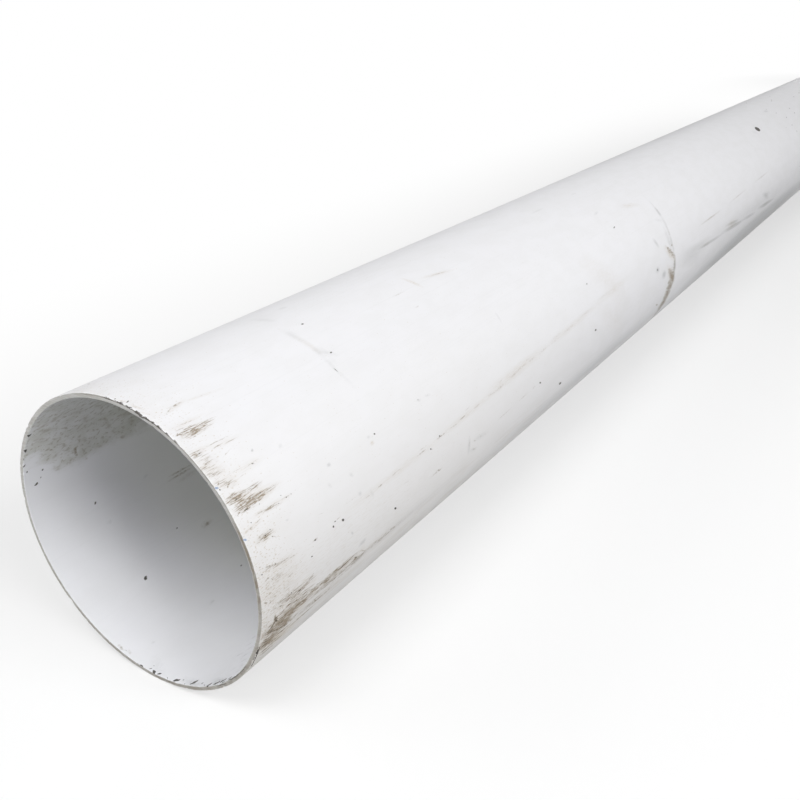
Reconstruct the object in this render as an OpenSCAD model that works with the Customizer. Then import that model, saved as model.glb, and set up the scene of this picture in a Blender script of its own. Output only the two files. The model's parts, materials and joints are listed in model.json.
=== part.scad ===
// Round PVC-U downpipe: one extruded length of thin-walled pipe, sawn square at both ends.
// It lies along X on the plane z = 0, with the origin under the middle of its length.

/* [Pipe] */
// Outside diameter, the size that clips, bends and sockets fit
pipe_od = 160; // [50:1:400]
// Wall thickness
wall_t = 2.5; // [1:0.1:6]
// Length of the stock, from sawn end to sawn end
pipe_length = 3000; // [250:50:6000]

/* [Sawn ends] */
// Width of the edge break that deburring leaves inside and outside both ends
edge_break = 0.25; // [0.05:0.05:0.45]

/* [Hidden] */
pipe_r = pipe_od / 2;
bore_r = pipe_r - wall_t;
ROUND_FN = 180;

// Half section of the wall: x is the distance from the pipe's axis, y the distance along it
module wall_section() {
    polygon([
        [bore_r + edge_break, 0],
        [pipe_r - edge_break, 0],
        [pipe_r, edge_break],
        [pipe_r, pipe_length - edge_break],
        [pipe_r - edge_break, pipe_length],
        [bore_r + edge_break, pipe_length],
        [bore_r, pipe_length - edge_break],
        [bore_r, edge_break]
    ]);
}

// The pipe, with its lowest line resting on z = 0
module downpipe() {
    color("whitesmoke")
        translate([-pipe_length / 2, 0, pipe_r])
            rotate([0, 90, 0])
                rotate_extrude($fn = ROUND_FN)
                    wall_section();
}

downpipe();
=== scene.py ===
import json
import math

import bpy
import numpy as np
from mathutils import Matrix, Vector


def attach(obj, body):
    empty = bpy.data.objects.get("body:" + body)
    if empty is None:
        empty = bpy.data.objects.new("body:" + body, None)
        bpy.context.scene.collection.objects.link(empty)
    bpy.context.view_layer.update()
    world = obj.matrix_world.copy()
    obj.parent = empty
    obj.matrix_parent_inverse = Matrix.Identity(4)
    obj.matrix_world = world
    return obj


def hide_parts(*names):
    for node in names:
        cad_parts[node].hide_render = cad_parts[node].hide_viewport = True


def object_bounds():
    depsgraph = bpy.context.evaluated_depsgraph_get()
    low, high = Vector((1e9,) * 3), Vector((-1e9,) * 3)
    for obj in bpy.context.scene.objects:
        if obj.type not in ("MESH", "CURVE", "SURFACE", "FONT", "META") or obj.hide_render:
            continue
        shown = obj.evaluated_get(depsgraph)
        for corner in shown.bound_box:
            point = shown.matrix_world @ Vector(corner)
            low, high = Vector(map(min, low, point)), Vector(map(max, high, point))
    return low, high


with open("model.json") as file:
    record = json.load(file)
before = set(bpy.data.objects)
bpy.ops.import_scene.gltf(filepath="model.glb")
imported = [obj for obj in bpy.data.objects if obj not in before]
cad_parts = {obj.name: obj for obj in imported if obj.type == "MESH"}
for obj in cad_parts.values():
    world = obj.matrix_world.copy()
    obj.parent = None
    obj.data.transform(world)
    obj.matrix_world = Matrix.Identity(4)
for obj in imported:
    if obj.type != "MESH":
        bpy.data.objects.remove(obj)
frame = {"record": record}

# The pipe lies along X on the floor, and its near end is at the low end of X. A place on its surface
# is (s, phi): millimetres from the near end, and degrees round from the crown towards -Y.
CAD_LOW, CAD_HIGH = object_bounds()
MM = 0.001
MOUNTS = {mount["name"]: mount for mount in frame["record"]["mounts"]}
OUTER = (CAD_HIGH.z - CAD_LOW.z) / 2 / MM
BORE = MOUNTS["bore"]["dims"]["r_mm"]
WALL = OUTER - BORE
LENGTH = (CAD_HIGH.x - CAD_LOW.x) / MM
NEAR_END = Vector((CAD_LOW.x, 0, CAD_LOW.z + OUTER * MM))
ARC = math.radians(OUTER)  # mm round the outside in one degree
FULL_TURN = 2 * math.pi


# ---- mesh

SEED = 160
FINE, MIDDLE, COARSE = 1024, 512, 256  # vertices in a ring
FACE_STEPS = 5  # bands of faces across a sawn end
END_STEPS = {  # mm from a sawn end to the rings behind it, by their vertices
    FINE: [0, 0.5, 1, 1.6, 2.4, 3.6, 5.2], MIDDLE: [7.5, 11, 16, 24], COARSE: [36, 54, 80, 110],
}
BODY_FROM, BODY_STEP = 150, 75  # mm: rings along the plain middle
SHARP_ANGLE = 30  # degrees between faces, above which an edge is drawn sharp

OUTER_ARRIS, BORE_ARRIS = 0.24, 0.14  # mm rubbed off the sawn edges
SHALLOWEST_CUT, DEEPEST_CUT = 0.1, 1.35  # mm
EDGE_FOLLOW = 0.12  # the share of its own distance by which a ring stands clear of a deep cut

# Each stretch of the surface has its own material, which holds only the marks that reach it.
OUTSIDE_ZONES = [0, 54, 150, 900, LENGTH - 150, LENGTH]
BORE_ZONES = [0, 150, LENGTH - 150, LENGTH]
LAST_OUTSIDE = len(OUTSIDE_ZONES) - 2
FIRST_BORE = LAST_OUTSIDE + 1
NEAR_SAWN = FIRST_BORE + len(BORE_ZONES) - 1
FAR_SAWN = NEAR_SAWN + 1

# Chips out of the sawn edges, as (phi, width mm, depth mm).
NEAR_OUTER_CHIPS = [
    (2, 4, 0.2), (5, 3, 0.2), (8, 1.2, 0.2), (10.6, 1.8, 0.3), (13.2, 3.2, 0.6), (15.4, 2.4, 0.7),
    (17.7, 2.4, 0.3), (20, 1.2, 0.2), (22.6, 3, 0.3), (25.4, 3.4, 0.3), (29, 2.4, 0.2), (32, 2.4, 0.2),
    (-24, 2, 0.5), (49, 1.2, 0.5), (67, 1.2, 0.4), (112, 7, 0.5), (117, 3, 0.6), (-52, 2.2, 0.6),
    (-88, 3.5, 0.7), (141, 2.4, 0.6), (-133, 4, 0.8), (163, 1.8, 0.5),
]
NEAR_BORE_CHIPS = [
    (284, 1.6, 0.4), (288, 2.4, 0.5), (295.5, 3, 0.7), (304, 3, 0.7), (180, 2, 0.4), (168, 1.8, 0.4),
    (150, 1.6, 0.5), (143, 1.4, 0.4), (78, 2.2, 0.5), (20, 1.8, 0.4), (232, 1.4, 0.4),
]
FAR_OUTER_CHIPS = [
    (-14, 2.4, 0.7), (31, 1.6, 0.5), (64, 3.4, 0.9), (121, 2.2, 0.6), (-70, 1.8, 0.6), (-118, 3, 0.8),
]
FAR_BORE_CHIPS = [
    (12, 2, 0.5), (97, 2.6, 0.6), (205, 1.8, 0.4), (318, 2.4, 0.6),
]

# The bake's sheet unrolls the wall's section: stops in mm round it from the near end's inner edge, and the
# share of the sheet at each. The near end, which is seen closest, gets the most.
SECTION = 2 * WALL + 2 * LENGTH
SHEET_STOPS = [0, WALL, WALL + 250, WALL + LENGTH - 100, WALL + LENGTH, SECTION - LENGTH,
               SECTION - LENGTH + 125, SECTION - 125, SECTION]
SHEET_SHARES = [0.002, 0.016, 0.50, 0.76, 0.82, 0.834, 0.874, 0.906, 0.998]


def angles(count):
    """Ring angles in radians, from the seam under the pipe and all the way round."""
    return np.arange(count) / count * FULL_TURN - math.pi


def wavy(phi, rng, waves, size):
    """A smooth random height round the pipe: the mean of a few sine waves."""
    total = sum(rng.uniform(0.4, 1) * np.sin(wave * phi + rng.uniform(0, FULL_TURN)) for wave in waves)
    return size * total / len(waves)


def worn_edge(phi, radius, chips, arris, rng):
    """How far in mm a sawn edge is cut back at each angle: its rubbed arris, random nicks and the
    listed chips."""
    ragged, nick_count, unevenness, steepness = 0.02, 70, 0.8, 0.6
    widths, depths = (0.5, 1.6), (0.05, 0.28)
    cut = arris * (1 + wavy(phi, rng, (5, 9, 17, 31), unevenness))
    nicks = [(rng.uniform(0, 360), rng.uniform(*widths), rng.uniform(*depths)) for _ in range(nick_count)]
    for angle, width, depth in chips + nicks:
        away = (phi - math.radians(angle) + math.pi) % FULL_TURN - math.pi
        inside = np.clip(1 - np.abs(away) * radius / (width / 2), 0, 1)
        cut = np.maximum(cut, (arris + depth * inside ** steepness) * (inside > 0))
    return np.clip(cut + rng.normal(0, ragged, len(phi)), SHALLOWEST_CUT, DEEPEST_CUT)


class Tube:
    """Rings in order round the wall's section, each joined to the one before."""

    def __init__(self):
        self.points, self.faces, self.materials, self.places = [], [], [], []
        self.count = 0
        self.first = self.last = None

    def ring(self, phi, along, radius, travel, material):
        """Adds a ring. travel is how far round the section it is, for its place on the bake's sheet."""
        x = CAD_LOW.x + np.broadcast_to(along, phi.shape) * MM
        y = -np.sin(phi) * radius * MM
        z = NEAR_END.z + np.cos(phi) * radius * MM
        self.points.append(np.column_stack([x, y, z]))
        made = (self.count, len(phi), np.interp(travel, SHEET_STOPS, SHEET_SHARES))
        self.count += len(phi)
        if self.last:
            self.join(self.last, made, material)
        self.first = self.first or made
        self.last = made

    def close(self, material):
        """Joins the last ring to the first."""
        self.join(self.last, (*self.first[:2], SHEET_SHARES[-1]), material)

    def join(self, a, b, material):
        """Quads between rings alike, or three triangles for each step of the coarser ring."""
        coarse, fine = sorted((a, b), key=lambda ring: ring[1])
        for i in range(coarse[1]):
            low, middle, high = (fine, 2 * i), (fine, 2 * i + 1), (fine, 2 * i + 2)
            left, right = (coarse, i), (coarse, i + 1)
            if coarse[1] == fine[1]:
                made = [[(a, i), (a, i + 1), (b, i + 1), (b, i)]]
            else:
                made = [[left, middle, low], [left, right, middle], [right, high, middle]]
            for corners in made:
                self.face(corners if coarse is a else corners[::-1], material)

    def face(self, corners, material):
        """One face. Each corner is a ring and a vertex's number in it, which may run past the seam."""
        self.faces.append([ring[0] + i % ring[1] for ring, i in corners])
        self.places += [(ring[2], i / ring[1]) for ring, i in corners]
        self.materials.append(material)

    def mesh(self, name):
        mesh = bpy.data.meshes.new(name)
        mesh.from_pydata(np.concatenate(self.points).tolist(), [], self.faces)
        mesh.polygons.foreach_set("material_index", self.materials)
        mesh.polygons.foreach_set("use_smooth", [True] * len(self.faces))
        mesh.uv_layers.new(name="OFBake").data.foreach_set("uv", np.ravel(self.places))
        mesh.set_sharp_from_angle(angle=math.radians(SHARP_ANGLE))
        return mesh


def body_radius(phi, s, radius):
    """The wall is drawn very slightly out of round, and always inside its nominal size."""
    slack, twist, two_lobes, three_lobes = 0.09, 900, 0.7, 0.3
    waves = 1 + np.sin(2 * phi + s / twist) * two_lobes + np.sin(3 * phi - s / twist) * three_lobes
    return radius - slack * waves


def sawn_face(phi, rng):
    """The face's place along the pipe: a hand-sawn cut that wanders, with the teeth's ripple."""
    depth, ripple, pitch, unevenness = 0.16, 0.03, 1.9, 0.5
    wander = wavy(phi, rng, (2, 3, 7, 13), unevenness)
    return depth * (1 + wander) + ripple * np.sin(FULL_TURN * np.cos(phi) * OUTER / pitch)


def pipe_mesh():
    """The whole pipe: near face, outside, far face and bore, as one closed wall."""
    rng = np.random.default_rng(SEED)
    round_at = {count: angles(count) for count in (FINE, MIDDLE, COARSE)}
    phi = round_at[FINE]
    edges = [(OUTER, NEAR_OUTER_CHIPS, OUTER_ARRIS), (BORE, NEAR_BORE_CHIPS, BORE_ARRIS),
             (OUTER, FAR_OUTER_CHIPS, OUTER_ARRIS), (BORE, FAR_BORE_CHIPS, BORE_ARRIS)]
    near_outer, near_bore, far_outer, far_bore = [worn_edge(phi, *edge, rng) for edge in edges]
    near_saw = sawn_face(phi, rng)
    far_saw = sawn_face(phi, rng)
    body = np.arange(BODY_FROM, LENGTH - BODY_FROM + 1, BODY_STEP)
    tube = Tube()

    def face(bore_cut, outer_cut, along, shares, start, material):
        """Rings across a sawn face, at these shares of the wall from its bore edge. The worn edge before
        the first one takes the outside's material."""
        for number, share in enumerate(shares):
            radius = BORE + bore_cut + share * (WALL - bore_cut - outer_cut)
            travel = start + number / FACE_STEPS * WALL
            tube.ring(phi, along, radius, travel, material if number else LAST_OUTSIDE)

    def wall(radius, zones, first_material, edge_material, near_reach, far_reach, outward):
        """Rings along the outside, near to far, or with outward False the bore, far to near. The fine
        ones keep clear of the cuts, which reach this far from each end."""
        def clear(offset, count, reach):
            return np.maximum(offset, reach + EDGE_FOLLOW * offset) if count == FINE else offset

        ends = [(offset, count) for count, offsets in END_STEPS.items() for offset in offsets]
        rings = [(clear(offset, count, near_reach), offset, count) for offset, count in ends]
        rings += [(offset, offset, COARSE) for offset in body]
        rings += [(LENGTH - clear(offset, count, far_reach), LENGTH - offset, count)
                  for offset, count in ends[::-1]]
        if not outward:
            rings.reverse()
        before = None
        for along, offset, count in rings:
            ring_phi = round_at[count]
            travel = WALL + offset if outward else SECTION - offset
            material = edge_material
            if before is not None:
                material = first_material + int(np.searchsorted(zones, (before + offset) / 2)) - 1
            tube.ring(ring_phi, along, body_radius(ring_phi, along, radius), travel, material)
            before = offset

    shares = np.linspace(0, 1, FACE_STEPS + 1)
    face(near_bore, near_outer, near_saw, shares, 0, NEAR_SAWN)
    wall(OUTER, OUTSIDE_ZONES, 0, 0, near_outer + near_saw, far_outer + far_saw, True)
    face(far_bore, far_outer, LENGTH - far_saw, shares[::-1], WALL + LENGTH, FAR_SAWN)
    wall(BORE, BORE_ZONES, FIRST_BORE, FAR_SAWN, near_bore + near_saw, far_bore + far_saw, False)
    tube.close(FIRST_BORE)
    return tube.mesh("pipe_wall")


# ---- material building

class Web:
    """Adds nodes to a material's or a world's tree. A value may be a number, a colour or the socket of
    another node."""

    def __init__(self, holder):
        self.holder = holder
        self.holder.use_nodes = True
        self.tree = self.holder.node_tree
        self.tree.nodes.clear()

    def node(self, kind, inputs=None, out=0, **settings):
        node = self.tree.nodes.new("ShaderNode" + kind)
        for key, value in settings.items():
            setattr(node, key, value)
        for key, value in (inputs or {}).items():
            if isinstance(value, bpy.types.NodeSocket):
                self.tree.links.new(value, node.inputs[key])
            else:
                node.inputs[key].default_value = value
        return node.outputs[out] if node.outputs else None

    def math(self, operation, a, b=0, c=0, clamp=False):
        return self.node("Math", {0: a, 1: b, 2: c}, operation=operation, use_clamp=clamp)

    def axes(self):
        """A place in the object's own coordinates, in m, and its x, y and z."""
        object_coords = 3  # the node's socket
        place = self.node("TexCoord", out=object_coords)
        x = self.node("SeparateXYZ", {0: place})
        return place, x, x.node.outputs[1], x.node.outputs[2]

    def times(self, a, b, clamp=False):
        return self.math("MULTIPLY", a, b, clamp=clamp)

    def scaled(self, value, factor, offset):
        return self.math("MULTIPLY_ADD", value, factor, offset)

    def minus(self, a, b):
        return self.math("SUBTRACT", a, b)

    def larger(self, a, b):
        return self.math("MAXIMUM", a, b)

    def size(self, value):
        return self.math("ABSOLUTE", value)

    def ramp(self, value, low, high, to_low=0, to_high=1, smooth=True):
        """value from low..high mapped to to_low..to_high, and held beyond."""
        kind = "SMOOTHSTEP" if smooth else "LINEAR"
        inputs = {"Value": value, "From Min": low, "From Max": high, "To Min": to_low, "To Max": to_high}
        return self.node("MapRange", inputs, interpolation_type=kind)

    def mix(self, share, a, b):
        """Colour a, with b over it by share."""
        first, second, mixed = 6, 7, 2  # the node's sockets for colours
        return self.node("Mix", {0: share, first: a, second: b}, out=mixed, data_type="RGBA")

    def layered(self, colour, *layers):
        """The colour with each (share, colour) laid over it in turn."""
        for share, over in layers:
            colour = self.mix(share, colour, over)
        return colour

    def noise(self, coords, size, seed, detail=2, rough=0.5):
        """Noise whose features are about size mm: along and round on an unrolled surface, or x, y and z
        in space. Each seed looks at another part of it."""
        flat = len(size) == 2
        scale = tuple(1 / part for part in size) + (1,) * flat
        elsewhere = (seed * 7.3, seed * 3.1, 0)
        place = self.node("Mapping", {0: coords, "Location": elsewhere, "Scale": scale})
        inputs = {"Vector": place, "Scale": 1, "Detail": detail, "Roughness": rough}
        return self.node("TexNoise", inputs, noise_dimensions="2D" if flat else "3D")

    def strokes(self, coords, marks, low=0, high=LENGTH):
        """The sum of the marks that reach this stretch of the pipe. Each has its full strength in its middle
        and none at its edge."""
        total = 0
        for s0, phi0, s1, phi1, width, percent in marks:
            if min(s0, s1) - width >= high or max(s0, s1) + width <= low:
                continue
            along, across = s1 - s0, (phi1 - phi0) * ARC
            reach = math.hypot(along, across) / 2 + width / 2
            inputs = {0: coords, "Location": ((s0 + s1) / 2, (phi0 + phi1) / 2 * ARC, 0),
                      "Rotation": (0, 0, math.atan2(across, along)), "Scale": (reach, width / 2, 1)}
            place = self.node("Mapping", inputs, vector_type="TEXTURE")
            shape = self.node("TexGradient", {0: place}, out=1, gradient_type="SPHERICAL")
            total = self.scaled(shape, percent / 100, total)
        return total


def unrolled(web, bore=False):
    """Coordinates in mm on the unrolled surface: along from the near end, and round from the crown.
    Outside, round runs from -180 to 180 degrees. In the bore it runs from 0 to 360."""
    _, x, y, z = web.axes()
    along = web.scaled(x, 1 / MM, LENGTH / 2)
    if bore:
        height = web.minus(NEAR_END.z, z)
        turn = web.math("ADD", web.math("ARCTAN2", y, height), math.pi)
    else:
        height = web.minus(z, NEAR_END.z)
        turn = web.math("ARCTAN2", web.times(y, -1), height)
    around = web.times(turn, OUTER)
    return along, around, web.node("CombineXYZ", {0: along, 1: around})


def nearest_end(web, along):
    """The distance in mm from the nearer end of the pipe."""
    return web.math("MINIMUM", along, web.minus(LENGTH, along))


def warped(web, coords, size, amount, seed):
    """coords pushed about by noise, so that marks laid on them have ragged outlines."""
    place = web.node("Mapping", {0: coords, "Location": (seed, seed, 0), "Scale": (1 / size, 1 / size, 1)})
    push = web.node("TexNoise", {"Vector": place, "Scale": 1, "Detail": 1}, out=1, noise_dimensions="2D")
    centred = web.node("VectorMath", {0: push, 1: (0.5, 0.5, 0.5)}, operation="SUBTRACT")
    scaled = web.node("VectorMath", {0: centred, 1: amount}, operation="MULTIPLY")
    return web.node("VectorMath", {0: coords, 1: scaled}, operation="ADD")


def satin(web, mottle, dirt):
    """The extruded skin's roughness, which dirt adds to."""
    smoothest, roughest, dulled = 0.62, 0.7, 0.14
    return web.scaled(dirt, dulled, web.ramp(mottle, 0.3, 0.7, smoothest, roughest))


def finish(web, colour, roughness, height):
    """The plastic itself. Its height is in mm, and is drawn as a bump."""
    bump = web.node("Bump", {"Strength": 1, "Distance": MM, "Height": height})
    inputs = {"Base Color": colour, "Roughness": roughness, "IOR": PVC_IOR, "Normal": bump}
    web.node("OutputMaterial", {"Surface": web.node("BsdfPrincipled", inputs)})
    return web.holder


def by_far_end(*marks):
    """Marks whose s is given from the far end instead."""
    return [(LENGTH - s0, phi0, LENGTH - s1, *rest) for s0, phi0, s1, *rest in marks]


PVC_IOR = 1.53
PLASTIC = (0.8, 0.8, 0.82, 1)
PLASTIC_SHADE = (0.787, 0.787, 0.803, 1)
YELLOWED = (0.8, 0.782, 0.752, 1)
GRIME = (0.24, 0.188, 0.127, 1)
DEEP_GRIME = (0.115, 0.09, 0.058, 1)
# Near-black for soot, and for the painted shadow along the chipped near edge.
SOOT_AND_SHADOW = (0.05, 0.043, 0.036, 1)
# Grey for haze and smudges, and for painted shade on the outside.
HAZE_AND_SHADE_GREY = (0.445, 0.45, 0.455, 1)
TAN = (0.5, 0.43, 0.335, 1)
INK = (0.26, 0.34, 0.5, 1)

# A mark is a soft stroke: (s0, phi0, s1, phi1, width mm, strength in %). Each list starts with those of
# the photograph, and may end with a few of the same kind, on the sides and end that it doesn't show.

# ---- outside

# Where rubbed-in grime lies thickest, as patches that streaky noise breaks up.
GRIME_PATCHES = [
    (4, 28.2, 16, 28.6, 5, 70), (5, 29.9, 19, 30.1, 4.2, 100), (13, 28.8, 26, 29, 2.4, 60),
    (0, 36.4, 8, 36.8, 3.6, 45), (0, 35, 9, 40, 8, 25), (0, 41, 8, 41.4, 6.5, 40),
    (0, 44.6, 8, 44.8, 5.5, 40), (2, 47.8, 10, 50, 5.5, 45), (2, 54.2, 11, 54.4, 5, 160),
    (9, 54.6, 23, 54.6, 3.6, 55), (5, 57.6, 15, 57.8, 7, 150), (8, 57.8, 24, 57.8, 4.6, 45),
    (14, 57.8, 31, 58, 3, 45), (12, 62.4, 28, 63.4, 3, 40), (7, 69.8, 16, 69.8, 4.2, 100),
    (3, 79.5, 24, 81.5, 3.4, 40), (2, 84, 20, 86, 8, 25), (8, 95.4, 30, 96, 7, 70), (18, 98, 40, 95, 6, 60),
    (2, 90, 24, 92, 9, 20), (3, 104.4, 24, 104.6, 10, 190), (8, 106.4, 22, 107, 6, 120),
    (12, 103, 38, 103.4, 6, 150), (30, 102.4, 78, 102.2, 4.6, 140), (1.5, 109.7, 13, 110, 8, 260),
    (8, 108.4, 28, 108.2, 4.4, 130), (18, 105.6, 140, 105.6, 5, 30), (36, 101.3, 43, 101.3, 3, 70),
    (68, 105, 82, 105.4, 5, 70), (10, 100.5, 38, 100, 7, 90), (34, 105, 70, 105, 5, 60),
    (20, 109, 60, 110, 6, 40), (84, 104.6, 118, 105.4, 8, 15), (555, 69.4, 575, 80, 6, 130),
    (557, 85, 577, 95, 9, 190), (558, 93, 568, 95, 3.6, 100), (559, 97, 576, 98.4, 4.6, 130),
    (568, 88, 568, 118, 21, 125), (570, 100, 571, 108, 11, 60), (573, 79, 574, 90, 7, 60),
    (556, 110, 578, 111, 9, 80), (645, 86, 700, 88.4, 7, 15), (740, 88, 815, 91.8, 5, 25),
    (895, 92.8, 965, 95.4, 5, 20), (2, -46, 22, -47, 8, 140), (5, -92, 26, -90, 9, 160),
    (3, -120, 44, -118, 7, 120), (40, -104, 190, -102, 5, 70), (3, -71, 14, -71, 4, 100),
    (700, -96, 760, -93, 9, 90), (1480, -88, 1570, -92, 10, 90), (2000, 78, 2090, 82, 9, 80),
    *by_far_end(
        (24, 42, 3, 43, 7, 150), (34, 96, 4, 98, 8, 180), (16, -30, 4, -30, 5, 100),
        (60, -100, 6, -97, 7, 130), (18, -64, 3, -65, 5, 110),
    ),
]
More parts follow.
